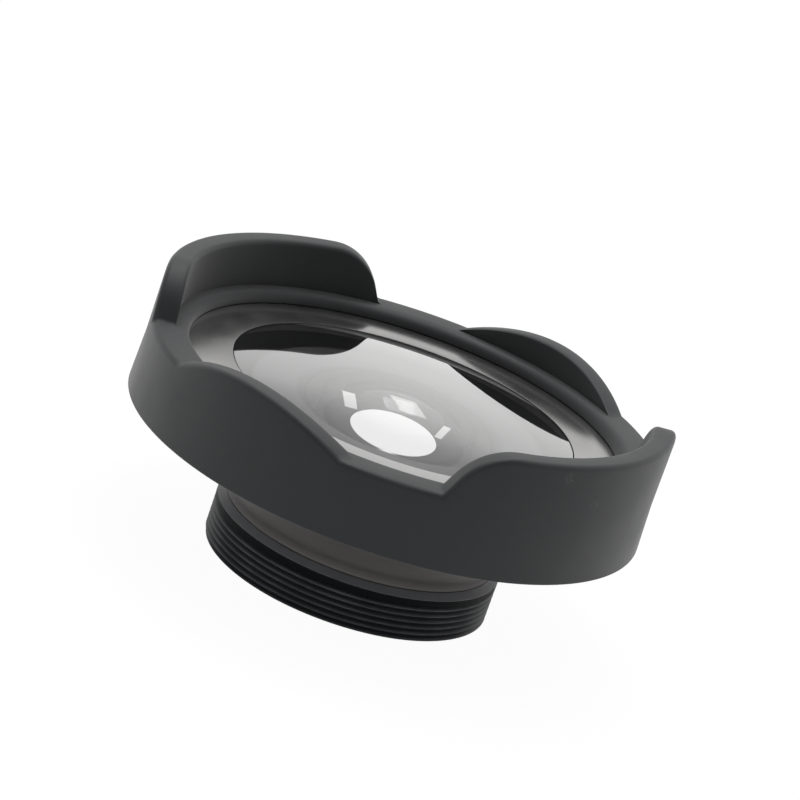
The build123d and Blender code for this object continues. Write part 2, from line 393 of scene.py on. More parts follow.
@dataclass(frozen=True)
class OpticalGlass:
    """Polished front glass with a coating that reflects more at a shallow angle."""

    name: str
    index: float = 1.5
    tint: Colour = (0.98, 0.985, 0.98, 1.0)
    coating: Colour = (1.0, 0.995, 0.99, 1.0)
    boost: float = 1.65
    steepness: float = 4.0
    most: float = 0.9
    haze_scale: float = 900.0

    def build(self) -> Material:
        """Builds the finish's nodes.

        Returns:
            The material.
        """
        material, shader = new_material(self.name)
        vector, *_ = shader.place()
        haze = shader.noise(vector, self.haze_scale, 3.0)
        surface = shader.principled(
            {
                "Base Color": shader.blend(haze, self.tint, grey(1.0)),
                "Roughness": 0.0,
                "IOR": self.index,
                "Transmission Weight": 1.0,
            }
        )
        gloss = shader.socket("BsdfGlossy", {"Color": self.coating, "Roughness": 0.0})
        facing = shader.signal("LayerWeight", {"Blend": 0.5}, "Facing")
        share = (facing ** self.steepness * self.boost).cap_at(self.most)
        outside = 1.0 - shader.signal("NewGeometry", output="Backfacing")
        shader.finish_clear(shader.mix(share * outside, surface, gloss))
        return material


@dataclass(frozen=True)
class CoatedGlass:
    """Inner lens glass, coated so that almost all light passes."""

    name: str
    index: float = 1.5
    haze_scale: float = 900.0

    def build(self) -> Material:
        """Builds the finish's nodes.

        Returns:
            The material.
        """
        material, shader = new_material(self.name)
        vector, *_ = shader.place()
        polish = {"Color": grey(1.0), "Roughness": 0.0}
        through = shader.socket("BsdfRefraction", {**polish, "IOR": self.index})
        gloss = shader.socket("BsdfGlossy", polish)
        evenness = shader.ramp(shader.noise(vector, self.haze_scale, 3.0), 0.3, 0.7, 0.96, 1.0)
        share = shader.signal("Fresnel", {"IOR": self.index}) ** 2.0 * evenness
        shader.finish_clear(shader.mix(share, through, gloss))
        return material


# Modelling


def choose(*pieces: Piece) -> None:
    """Makes pieces the only selected ones.

    Args:
        pieces: The pieces; the last of them becomes the active one.
    """
    bpy.ops.object.select_all(action="DESELECT")
    for piece in pieces:
        piece.select_set(True)
    bpy.context.view_layer.objects.active = pieces[-1]


def join(piece: Piece, addition: Piece) -> None:
    """Joins an addition into a piece."""
    choose(addition, piece)
    bpy.ops.object.join()


def edit(piece: Piece) -> None:
    """Makes a piece the only selected one and opens it in edit mode."""
    choose(piece)
    bpy.ops.object.mode_set(mode="EDIT")


def close() -> None:
    """Leaves edit mode."""
    bpy.ops.object.mode_set(mode="OBJECT")


def weld(reach: float) -> None:
    """Merges vertices that lie on each other and selects all. Edit mode is open.

    Args:
        reach: How far apart they may lie, in millimetres.
    """
    bpy.ops.mesh.select_all(action="SELECT")
    bpy.ops.mesh.remove_doubles(threshold=reach * MM)
    bpy.ops.mesh.select_all(action="SELECT")


def face_outward() -> None:
    """Selects all and turns the faces outward. Edit mode is open."""
    bpy.ops.mesh.select_all(action="SELECT")
    bpy.ops.mesh.normals_make_consistent(inside=False)


def select_where(piece: Piece, test: Callable[[Vector], bool]) -> None:
    """Selects the vertices that a test picks by their place. Edit mode is open before and after.

    Args:
        piece: The piece in edit mode.
        test: Says for a place whether its vertex is picked.
    """
    bpy.ops.mesh.select_all(action="DESELECT")
    close()
    for vertex in piece.data.vertices:
        vertex.select = test(vertex.co)
    bpy.ops.object.mode_set(mode="EDIT")
    bpy.ops.mesh.select_mode(type="VERT")


def select_border(piece: Piece, test: Callable[[Vector], bool]) -> None:
    """Selects the open borders whose vertices a test picks. Edit mode is open before and after.

    Args:
        piece: The piece in edit mode.
        test: Says for a place whether its vertex is picked.
    """
    bpy.ops.mesh.select_mode(type="EDGE")
    bpy.ops.mesh.select_all(action="DESELECT")
    bpy.ops.mesh.select_non_manifold(
        use_wire=False, use_boundary=True, use_multi_face=False, use_non_contiguous=False, use_verts=False
    )
    close()
    vertices = piece.data.vertices
    picked: set[int] = set()
    for edge in piece.data.edges:
        edge.select = edge.select and all(test(vertices[index].co) for index in edge.vertices)
        picked.update(edge.vertices if edge.select else ())
    for vertex in vertices:
        vertex.select = vertex.index in picked
    bpy.ops.object.mode_set(mode="EDIT")


def draw_wire(name: str, places: Sequence[Vector]) -> Piece:
    """Draws a chain of edges, one extruded vertex after another.

    Args:
        name: The piece's name.
        places: The chain's points in metres.

    Returns:
        The piece, in edit mode.
    """
    bpy.ops.mesh.primitive_plane_add(size=MM, location=(0, 0, 0))
    piece = bpy.context.object
    piece.name = name
    piece.data.name = name
    bpy.ops.object.mode_set(mode="EDIT")
    bpy.ops.mesh.select_all(action="SELECT")
    bpy.ops.mesh.merge(type="CENTER")
    bpy.ops.transform.translate(value=places[0])
    for before, after in zip(places, places[1:]):
        bpy.ops.mesh.extrude_vertices_move(TRANSFORM_OT_translate={"value": after - before})
    return piece


def draw_section(name: str, section: Sequence[Point]) -> Piece:
    """Draws a section of (radius, height) in millimetres, beside the optical axis."""
    return draw_wire(name, [Vector((radius * MM, 0.0, height * MM)) for radius, height in section])


def finish_faces(piece: Piece, index: int, test: Callable[[Vector], bool]) -> None:
    """Gives one of a piece's finishes to the faces whose corners all pass a test.

    Args:
        piece: The piece, in object mode.
        index: The finish's place among the piece's materials.
        test: Says for a place whether a corner there counts.
    """
    vertices = piece.data.vertices
    for face in piece.data.polygons:
        if all(test(vertices[corner].co) for corner in face.vertices):
            face.material_index = index


def smooth(piece: Piece, angle: float = 35.0) -> None:
    """Shades a piece smooth, except over corners sharper than an angle in degrees."""
    choose(piece)
    bpy.ops.object.shade_smooth_by_angle(angle=math.radians(angle))


def spun(name: str, section: Sequence[Point], steps: int = 192) -> Piece:
    """Spins a section about the optical axis.

    Args:
        name: The piece's name.
        section: Closed section as (radius, height) in millimetres, or one from axis to axis.
        steps: Facets round the axis.

    Returns:
        The smooth-shaded piece.
    """
    piece = draw_section(name, section)
    weld(1e-4)
    bpy.ops.mesh.spin(steps=steps, angle=math.tau, center=(0, 0, 0), axis=(0, 0, 1))
    weld(1e-3)
    face_outward()
    close()
    smooth(piece)
    return piece


def rounded(corners: Sequence[tuple[float, ...]], closed: bool = True, steps: int = 5) -> list[Point]:
    """Rounds the corners of a flat outline.

    Args:
        corners: (x, y) or (x, y, radius) for each corner.
        closed: Whether the last corner runs on to the first.
        steps: Points on each round.

    Returns:
        The outline's points; a closed outline ends where it starts.
    """
    points: list[Point] = []
    count = len(corners)
    for index, corner in enumerate(corners):
        here = Vector(corner[:2])
        radius = corner[2] if len(corner) > 2 else 0.0
        if radius <= 0 or (not closed and index in (0, count - 1)):
            points.append((here.x, here.y))
            continue
        back = (Vector(corners[index - 1][:2]) - here).normalized()
        ahead = (Vector(corners[(index + 1) % count][:2]) - here).normalized()
        half = back.angle(ahead) / 2
        middle = here + (back + ahead).normalized() * (radius / math.sin(half))
        start = here + back * (radius / math.tan(half)) - middle
        end = here + ahead * (radius / math.tan(half)) - middle
        sweep = start.angle_signed(end)
        for step in range(steps + 1):
            turn = -sweep * step / steps
            points.append(
                (
                    middle.x + start.x * math.cos(turn) - start.y * math.sin(turn),
                    middle.y + start.x * math.sin(turn) + start.y * math.cos(turn),
                )
            )
    if closed:
        points.append(points[0])
    return points


def dress(piece: Piece, material: Material, body: Body, nodes: Iterable[str]) -> None:
    """Gives a finished piece its finish and its place in the frame.

    Args:
        piece: The piece.
        material: Its main finish.
        body: The body that carries it.
        nodes: The solids that it stands for.
    """
    piece.data.materials.clear()
    piece.data.materials.append(material)
    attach(piece, body.value)
    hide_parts(*nodes)
    log.info("%s: %d faces, for %s", piece.name, len(piece.data.polygons), ", ".join(nodes))


def dress_node(name: str, material: Material) -> None:
    """Gives a carried-over solid its finish.

    Args:
        name: The node's name.
        material: Its finish.
    """
    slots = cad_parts[name].data.materials
    slots.clear()
    slots.append(material)
    log.info("%s: carried over", name)


# Sub-assemblies, with lengths in millimetres and angles in degrees


@dataclass
class PetalHood:
    """Soft-touch hood: a wall that rises into two tall and two low petals, and a ledge inside."""

    bottom: float = 9.6
    bottom_radius: float = 20.25
    wall_radius: float = 20.09
    straight_from: float = 13.5
    bore: float = 17.6
    ledge_inner: float = 17.0
    ledge_underside: float = 14.45
    ledge_round: float = 0.85
    floor: float = 15.35
    wall_inner: float = 18.3
    low_top: float = 17.45
    tall_top: float = 19.15
    tall_angles: tuple[float, float] = (148.2, 328.2)
    tall_half: float = 44.1
    low_angles: tuple[float, float] = (58.2, 238.2)
    low_half: float = 23.05
    lean: float = 1.9
    corner: float = 4.6
    foot: float = 0.5
    edge: float = 0.45
    bottom_edge: float = 0.15
    inner_edge: float = 0.42
    finish: SoftTouch = SoftTouch()

    def _shoulder(self, petal: float, side: int, radius: float) -> list[Point]:
        """One end of a tall petal, rising from the floor.

        Args:
            petal: The petal's middle, in degrees.
            side: 1 for the end that comes first round the hood, -1 for the other.
            radius: Distance from the axis.

        Returns:
            Points as (angle, height), in order round the hood.
        """
        before = -1.0
        beyond = 6.0
        shape = rounded(
            [
                (before, self.floor),
                (0.0, self.floor, self.foot),
                (self.lean, self.tall_top, self.corner),
                (beyond, self.tall_top),
            ],
            closed=False,
            steps=14,
        )
        middle = petal - side * self.tall_half
        run = shape[1:-1][::side]
        return [(middle + side * self._turn(sideways, radius), height) for sideways, height in run]

    @staticmethod
    def _turn(sideways: float, radius: float) -> float:
        """The angle that a distance sideways stands for at a radius, in degrees."""
        return math.degrees(math.asin(sideways / radius))

    def _arch(self, petal: float, radius: float) -> list[Point]:
        """A low petal: one round arch.

        Args:
            petal: The petal's middle, in degrees.
            radius: Distance from the axis.

        Returns:
            Points as (angle, height), in order round the hood.
        """
        half = self.wall_radius * math.sin(math.radians(self.low_half))
        rise = self.low_top - self.floor
        bow = (half * half + rise * rise) / (2 * rise)
        spread = math.asin(half / bow)
        steps = 36
        points = []
        for step in range(steps + 1):
            turn = spread * (2 * step / steps - 1)
            height = self.low_top - bow * (1 - math.cos(turn))
            points.append((petal + self._turn(bow * math.sin(turn), radius), height))
        return points

    def _corners(self, radius: float) -> list[Point]:
        """The upper edge's own points.

        Args:
            radius: Distance from the axis.

        Returns:
            Points as (angle in degrees, height), in order and once round.
        """
        runs = []
        for petal in self.tall_angles:
            runs.append(self._shoulder(petal, 1, radius) + self._shoulder(petal, -1, radius))
        for petal in self.low_angles:
            runs.append(self._arch(petal, radius))
        runs.sort(key=lambda run: run[0][0])
        corners = [point for run in runs for point in run]
        corners.append((corners[0][0] + 360.0, corners[0][1]))
        return corners

    def outline(self, radius: float) -> list[Point]:
        """The whole upper edge, with as many points at every radius.

        Args:
            radius: Distance from the axis.

        Returns:
            Points as (angle in degrees, height), once round.
        """
        widest = 1.3
        outer = self._corners(self.wall_radius)
        corners = self._corners(radius)
        points = [corners[0]]
        for place in range(1, len(corners)):
            (before, low), (angle, height) = corners[place - 1 : place + 1]
            extra = max(1, math.ceil((outer[place][0] - outer[place - 1][0]) / widest))
            for step in range(1, extra + 1):
                share = step / extra
                points.append((before + (angle - before) * share, low + (height - low) * share))
        return points

    def _wire(self, name: str, radius: float) -> Piece:
        """Draws the upper edge as a closed chain of edges.

        Args:
            name: The piece's name.
            radius: Distance from the axis.

        Returns:
            The piece, in edit mode and all selected.
        """
        places = []
        for angle, height in self.outline(radius):
            turn = math.radians(angle)
            places.append(Vector((math.cos(turn) * radius, math.sin(turn) * radius, height)) * MM)
        piece = draw_wire(name, places)
        weld(1e-3)
        return piece

    @staticmethod
    def _next_loop(ratio: float, rise: float = 0.0, squeeze: float = 1.0, about: float = 0.0) -> None:
        """Extrudes the selected loop and moves the new one.

        Args:
            ratio: New radius over old.
            rise: Move along the axis, in millimetres.
            squeeze: Scale along the axis.
            about: Height that the scale leaves alone, in millimetres.
        """
        bpy.ops.mesh.extrude_region_move()
        bpy.ops.transform.resize(value=(ratio, ratio, squeeze), center_override=(0, 0, about * MM))
        if rise:
            bpy.ops.transform.translate(value=(0, 0, rise * MM))

    def _outer(self) -> Piece:
        """Models the outer face, the bottom, the bore and the ledge up to the foot of the wall.

        Returns:
            The piece.
        """
        piece = self._wire("petal_hood", self.wall_radius)
        self._next_loop(1.0, squeeze=0.0, about=self.straight_from)
        section = rounded(
            [
                (self.wall_radius, self.straight_from),
                (self.bottom_radius, self.bottom, self.bottom_edge),
                (self.bore, self.bottom, self.bottom_edge),
                (self.bore, self.ledge_underside),
                (self.ledge_inner, self.ledge_underside),
                (self.ledge_inner, self.floor, self.ledge_round),
                (self.wall_inner, self.floor),
            ],
            closed=False,
            steps=7,
        )[:-1]
        for (radius, height), (new_radius, new_height) in zip(section, section[1:]):
            self._next_loop(new_radius / radius, rise=new_height - height)
        weld(2e-3)
        close()
        return piece

    def _inner(self) -> Piece:
        """Models the soft inner edge of the wall and its inner face down to the ledge.

        Returns:
            The piece.
        """
        soft = self.inner_edge
        steps = 5
        tall = self.tall_top - self.floor
        radius = self.wall_inner + soft
        piece = self._wire("petal_hood_inner", radius)
        left = 1.0
        for step in range(1, steps + 1):
            turn = math.pi / 2 * step / steps
            new_radius = self.wall_inner + soft * (1 - math.sin(turn))
            new_left = 1 - soft * (1 - math.cos(turn)) / tall
            self._next_loop(new_radius / radius, squeeze=new_left / left, about=self.floor)
            radius = new_radius
            left = new_left
        self._next_loop(1.0, squeeze=0.0, about=self.floor)
        weld(2e-3)
        close()
        return piece

    def _bridge(self, piece: Piece, lift: Vector) -> None:
        """Joins the borders of the outer and inner faces, over the wall's top and on the ledge.

        Args:
            piece: Both halves in one object, in edit mode.
            lift: How far the inner half was lifted, so that the borders lie one over the other.
        """
        between = (self.wall_inner + 0.2) * MM
        for over_top in (True, False):
            select_border(piece, lambda at: (math.hypot(at.x, at.y) > between) == over_top)
            bpy.ops.mesh.bridge_edge_loops()
        select_where(piece, lambda at: at.z > lift.z)
        bpy.ops.transform.translate(value=-lift)

    def build(self) -> None:
        """Models the hood and dresses it."""
        outer = self._outer()
        inner = self._inner()
        lift = Vector((0, 0, 1.5 * self.tall_top * MM))
        edit(inner)
        bpy.ops.mesh.select_all(action="SELECT")
        bpy.ops.transform.translate(value=lift)
        close()
        join(outer, inner)
        edit(outer)
        near = 0.005 * MM
        above = (self.straight_from + 0.1) * MM
        wall = self.wall_radius * MM
        self._bridge(outer, lift)
        weld(2e-3)
        face_outward()
        select_where(outer, lambda at: abs(math.hypot(at.x, at.y) - wall) < near and at.z > above)
        bpy.ops.mesh.bevel(
            offset=self.edge * MM, segments=5, profile=0.5, affect="EDGES", clamp_overlap=False
        )
        face_outward()
        close()
        smooth(outer, 50.0)
        dress(outer, self.finish.build(), Body.HOOD, ["petal_hood"])


@dataclass
class FrictionRing:
    """Rubber ring that grips the hood."""

    height: float = 11.5
    radius: float = 17.1
    cord: float = 0.46
    finish: Matt = Matt("grip_rubber", (0.02, 0.02, 0.021, 1.0), 0.55)

    def build(self) -> None:
        """Models the ring and dresses it."""
        points = 20
        section = []
        for step in range(points + 1):
            turn = math.tau * step / points
            across = self.radius + self.cord * math.cos(turn)
            section.append((across, self.height + self.cord * math.sin(turn)))
        piece = spun("friction_ring", section)
        dress(piece, self.finish.build(), Body.FRICTION_RING, ["hood_friction_ring"])


@dataclass
class Barrel:
    """The turned body: tail, neck, flare, hood seat and front bore.

    The neck and the groove are given as (bottom, top), the bores as (radius, bottom).
    """

    tail_bore: float = 9.0
    tail_radius: float = 9.9
    tail_bottom: float = 0.9
    neck_radius: float = 10.66
    neck: Point = (3.8, 4.2)
    flare_radius: float = 16.0
    flare_sag: float = 0.35
    seat_radius: float = 17.5
    seat_bottom: float = 9.75
    groove_radius: float = 16.62
    groove: Point = (10.95, 12.05)
    top: float = 13.8
    soft: float = 0.12
    ring_bore: Point = (15.95, 12.2)
    glass_bore: Point = (14.45, 9.2)
    cell_bore: Point = (11.2, 6.2)
    finish: TurnedMetal = TurnedMetal(
        "barrel_satin_black", (0.158, 0.150, 0.146, 1.0), roughness=0.42, metallic=0.85
    )

    def _flare(self) -> list[Point]:
        """The bowed flare between the neck and the seat.

        Returns:
            Its points, without its ends.
        """
        low = Vector((self.neck_radius, self.neck[1]))
        high = Vector((self.flare_radius, self.seat_bottom))
        pull = (low + high) / 2 + Vector((-self.flare_sag, self.flare_sag)) * 2
        steps = 14
        points = []
        for step in range(1, steps):
            share = step / steps
            at = low * (1 - share) ** 2 + pull * 2 * share * (1 - share) + high * share**2
            points.append((at.x, at.y))
        return points

    def _bores(self) -> list[Point]:
        """The stepped bore, from the front down to the tail's bore.

        Returns:
            Its corners.
        """
        corners = []
        above = self.top
        for radius, bottom in (self.ring_bore, self.glass_bore, self.cell_bore):
            corners += [(radius, above), (radius, bottom)]
            above = bottom
        return [*corners, (self.tail_bore, above)]

    def build(self) -> None:
        """Models the barrel and dresses it."""
        corners = [
            (self.tail_bore, self.tail_bottom),
            (self.tail_radius, self.tail_bottom),
            (self.tail_radius, self.neck[0]),
            (self.neck_radius, self.neck[0], self.soft),
            (self.neck_radius, self.neck[1]),
            *self._flare(),
            (self.flare_radius, self.seat_bottom),
            (self.seat_radius, self.seat_bottom, self.soft),
            (self.seat_radius, self.groove[0]),
            (self.groove_radius, self.groove[0]),
            (self.groove_radius, self.groove[1]),
            (self.seat_radius, self.groove[1]),
            (self.seat_radius, self.top, self.soft),
            *self._bores(),
        ]
        piece = spun("main_barrel_turned", rounded(corners))
        dress(piece, self.finish.build(), Body.BARREL, ["main_barrel"])


@dataclass
class MountThread:
    """The screwed ring at the rear: plain land, shoulder and a real helical thread; the land is painted
    darker for shade, the shoulder lighter for light, and the crests carry a painted highlight.
    """

    radius: float = 11.25
    pitch: float = 0.5
    depth: float = 0.307
    top: float = 2.8
    land_top: float = 3.4
    neck_radius: float = 10.66
    neck_bottom: float = 3.8
    bore: float = 9.95
    rear_opening: float = 8.6
    lip: float = 0.9
    finish: TurnedMetal = TurnedMetal(
        "thread_black",
        (0.030, 0.0325, 0.036, 1.0),
        roughness=0.42,
        metallic=0.0,
        specular=0.25,
        # Painted highlight on the thread crests, for the light that they catch
        crest=(11.08, 11.2),
        crest_highlight_colour=(0.11, 0.114, 0.12, 1.0),
    )
    # Painted shade: the land gets a near-black, almost glossless copy of the thread's finish, for the shade
    # that falls on it
    land_painted_shade: TurnedMetal = TurnedMetal(
        "thread_land_painted_shade", (0.006, 0.007, 0.008, 1.0), roughness=0.45, metallic=0.0, specular=0.06
    )
    # Painted light: the shoulder gets a grey copy of the thread's finish, for the light that it catches
    shoulder_painted_light: TurnedMetal = TurnedMetal(
        "thread_shoulder_painted_light", (0.170, 0.175, 0.184, 1.0), roughness=0.45, metallic=0.0, specular=0.3
    )

    def _ring(self) -> Piece:
        """Models the land, the shoulder, the bore and a plain core under the thread.

        Returns:
            The piece.
        """
        under_thread = 0.03
        core = self.radius - self.depth - under_thread
        soft = 0.06
        corners = [
            (self.bore, self.lip),
            (self.rear_opening, self.lip, soft),
            (self.rear_opening, 0.0, soft),
            (core, 0.0),
            (core, self.top),
            (self.radius, self.top, soft),
            (self.radius, self.land_top, soft),
            (self.neck_radius, self.neck_bottom),
            (self.bore, self.neck_bottom),
        ]
        return spun("mount_thread", rounded(corners))

    def _ridge(self) -> Piece:
        """Models the thread's helix, trimmed flat at both ends.

        Returns:
            The piece.
        """
        core = self.radius - self.depth
        under_crest = 0.005
        crest = self.radius - under_crest
        half = self.pitch / 2
        flat = self.pitch / 16
        turns_below = 2.25
        start = -turns_below * self.pitch
        section = [
            (core, start),
            (crest, start + half - flat),
            (crest, start + half + flat),
            (core, start + self.pitch),
        ]
        piece = draw_section("mount_thread_ridge", section)
        close()
        turn = piece.modifiers.new("helix", "SCREW")
        turn.axis = "Z"
        turn.screw_offset = self.pitch * MM
        turn.iterations = 9
        turn.steps = 160
        turn.render_steps = 160
        turn.use_merge_vertices = False
        bpy.ops.object.modifier_apply(modifier=turn.name)
        edit(piece)
        weld(1e-3)
        for height, keep_above in ((0.0, True), (self.top, False)):
            bpy.ops.mesh.select_all(action="SELECT")
            bpy.ops.mesh.bisect(
                plane_co=(0, 0, height * MM),
                plane_no=(0, 0, 1),
                threshold=MM * 1e-4,
                clear_inner=keep_above,
                clear_outer=not keep_above,
            )
        face_outward()
        close()
        return piece

    def build(self) -> None:
        """Models the ring and dresses it."""
        ring = self._ring()
        join(ring, self._ridge())
        smooth(ring, 25.0)
        dress(ring, self.finish.build(), Body.BARREL, ["mount_thread_ring"])
        near = 0.03
        # The land's faces get the painted shade, and the shoulder's faces above it the painted light
        bands = ((self.land_painted_shade, self.top), (self.shoulder_painted_light, self.land_top))
        for index, (finish, bottom) in enumerate(bands, start=1):
            ring.data.materials.append(finish.build())
            above = (bottom - near) * MM
            finish_faces(ring, index, lambda at: at.z > above)


@dataclass(frozen=True)
class Face:
    """A spherical glass face: its height at the rim, its curvature and its reach."""

    edge: float
    curvature: float
    reach: float

    def height(self, radius: float) -> float:
        """Height at a distance from the axis."""
        return self.edge + self._drop(self.reach) - self._drop(radius)

    def _drop(self, distance: float) -> float:
        """How far the face falls from its middle to a distance from the axis."""
        fall = abs(self.curvature) - math.sqrt(self.curvature**2 - distance**2)
        return math.copysign(fall, self.curvature)

    def arc(self, steps: int) -> list[Point]:
        """Points from the axis out to the rim."""
        radii = [self.reach * step / steps for step in range(steps + 1)]
        return [(radius, self.height(radius)) for radius in radii]

    def holds(self, at: Vector) -> bool:
        """Tests whether a place lies on the face.

        Args:
            at: The place, in metres.

        Returns:
            Whether it does.
        """
        near = 0.004
        radius = math.hypot(at.x, at.y) / MM
        over = at.z / MM - self.height(min(radius, self.reach))
        return radius < self.reach + near and abs(over) < near


@dataclass
class Element:
    """One glass element: two faces joined by a blackened rim."""

    name: str
    node: str
    front: Face
    rear: Face
    rim: tuple[Point, ...]
    glass: OpticalGlass | CoatedGlass
    lacquer: Matt
    ground: Matt | None = None
    steps: int = 40
    facets: int = 224

    def build(self) -> None:
        """Models the element and dresses it."""
        section = [*self.front.arc(self.steps), *self.rim, *reversed(self.rear.arc(self.steps))]
        piece = spun(self.name, section, self.facets)
        dress(piece, self.glass.build(), Body.BARREL, [self.node])
        for finish in (self.lacquer, self.ground or self.lacquer):
            piece.data.materials.append(finish.build())
        polished, lacquered, outermost = range(3)
        near = 0.004
        widest = (max(radius for radius, _ in self.rim) - near) * MM
        finish_faces(piece, lacquered, lambda at: True)
        finish_faces(piece, outermost, lambda at: math.hypot(at.x, at.y) > widest)
        for side in (self.front, self.rear):
            finish_faces(piece, polished, side.holds)


@dataclass
class FrontGroup:
    """The satin front ring and the large glass under its lip."""

    seat_radius: float = 17.5
    ring_top: float = 14.4
    ring_inner: float = 13.46
    lip_underside: float = 14.15
    lip_edge: float = 0.04
    rim_edge: float = 0.12
    seat: float = 13.8
    thread: Point = (15.9, 12.4)
    ring_finish: TurnedMetal = TurnedMetal(
        "front_ring_satin",
        (0.40, 0.395, 0.39, 1.0),
        shade=0.95,
        roughness=0.22,
        lines=12000.0,
        line_depth=0.0002 * MM,
    )
    lip_finish: Matt = Matt("ring_lip_black", (0.012, 0.012, 0.013, 1.0), 0.6, specular=0.2)
    glass: OpticalGlass = OpticalGlass("front_glass")
    lacquer: Matt = Matt("rim_lacquer", (0.008, 0.008, 0.009, 1.0), 0.5)
    ground: Matt = Matt("rim_ground", (0.20, 0.197, 0.19, 1.0), 0.7, depth=0.001 * MM, specular=0.1)

    def build(self) -> None:
        """Models the ring and the glass and dresses them."""
        thread_radius, thread_bottom = self.thread
        skirt_inner = 14.5
        corners = [
            (self.ring_inner, self.lip_underside),
            (self.ring_inner, self.ring_top, self.lip_edge),
            (self.seat_radius, self.ring_top, self.rim_edge),
            (self.seat_radius, self.seat),
            (thread_radius, self.seat),
            (thread_radius, thread_bottom),
            (skirt_inner, thread_bottom),
            (skirt_inner, self.lip_underside),
        ]
        ring = spun("front_ring", rounded(corners), 256)
        dress(ring, self.ring_finish.build(), Body.BARREL, ["front_retaining_ring"])
        ring.data.materials.append(self.lip_finish.build())
        near = 0.03
        lip = (self.ring_inner + near) * MM
        finish_faces(ring, 1, lambda at: math.hypot(at.x, at.y) < lip)
        faces = (Face(edge=14.36, curvature=130.0, reach=13.4), Face(edge=9.45, curvature=8.85, reach=7.88))
        rim = ((13.4, 13.75), (14.4, 13.75), (14.4, 9.45))
        finishes = (self.glass, self.lacquer, self.ground)
        Element("front_glass", "front_element", *faces, rim, *finishes, steps=60, facets=288).build()


@dataclass
class RearGroup:
    """The glasses of the rear cell."""

    lacquer: Matt = Matt("inner_lacquer", (0.012, 0.012, 0.013, 1.0), 0.5)
    glass: CoatedGlass = CoatedGlass("inner_glass")
    radius: float = 6.9
    cement: float = 6.3
    overlap: float = 0.01

    def build(self) -> None:
        """Models the four glasses and dresses them."""
        stack = self.radius
        crown_rear = Face(self.cement - self.overlap, -30.0, stack)
        flint_front = Face(self.cement + self.overlap, -30.0, stack)
        dome = (Face(7.95, 11.2, 7.5), Face(7.4, 60.0, 6.45), ((8.0, 7.95), (8.0, 7.4)))
        crown = (Face(7.0, 33.0, 6.45), crown_rear, ((stack, 7.0),))
        flint = (flint_front, Face(4.45, 60.0, 6.3), ((stack, 4.45),))
        eye = (Face(3.3, 40.0, 6.5), Face(2.15, -20.0, 6.1), ((stack, 3.3), (stack, 2.15)))
        shapes = (
            ("dome_glass", "second_element", *dome),
            ("crown_glass", "doublet_crown", *crown),
            ("flint_glass", "doublet_flint", *flint),
            ("eye_glass", "rear_element", *eye),
        )
        for shape in shapes:
            Element(*shape, self.glass, self.lacquer).build()


@dataclass
class CarriedParts:
    """The hidden rings, washers and tubes, which keep their solids and get their finishes."""

    inner: TurnedMetal = TurnedMetal("inner_black", (0.016, 0.016, 0.018, 1.0), roughness=0.5, metallic=0.0)
    film: Matt = Matt("film_black", (0.012, 0.012, 0.012, 1.0), 0.7)
    seal: Matt = Matt("seal_rubber", (0.016, 0.016, 0.016, 1.0), 0.6)
    foil: Matt = Matt("shim_foil", (0.62, 0.48, 0.26, 1.0), 0.35, metallic=1.0)

    def dress_all(self) -> None:
        """Dresses every carried-over solid."""
        rings = ("lens_cell", "cell_lock_ring", "dome_retaining_ring", "rear_spacer", "rear_retaining_ring")
        groups = (
            (self.inner, rings),
            (self.film, ("stop_washer", "front_seat_washer")),
            (self.seal, ("front_seal_ring",)),
            (self.foil, ("cell_shim",)),
        )
        for finish, names in groups:
            material = finish.build()
            for name in names:
                dress_node(name, material)


# Studio


@dataclass
class Lamp:
    """A soft oblong lamp that points at the lens; places and sizes in metres, the turn in degrees."""

    name: str
    place: Place
    size: Point
    level: float
    turn: float = 0.0

    def build(self) -> None:
        """Adds the lamp."""
        aim = Vector((0.0, 0.0, 0.012))
        at = Vector(self.place)
        bpy.ops.object.light_add(type="AREA", location=at)
        lamp = bpy.context.object
        lamp.name = self.name
        lamp.data.shape = "RECTANGLE"
        lamp.data.size, lamp.data.size_y = self.size
        lamp.data.energy = self.level * math.pi * self.size[0] * self.size[1]
        facing = (aim - at).to_track_quat("-Z", "Y")
        lamp.rotation_euler = (facing @ Quaternion((0, 0, 1), math.radians(self.turn))).to_euler()
        log.info("lamp %s", self.name)


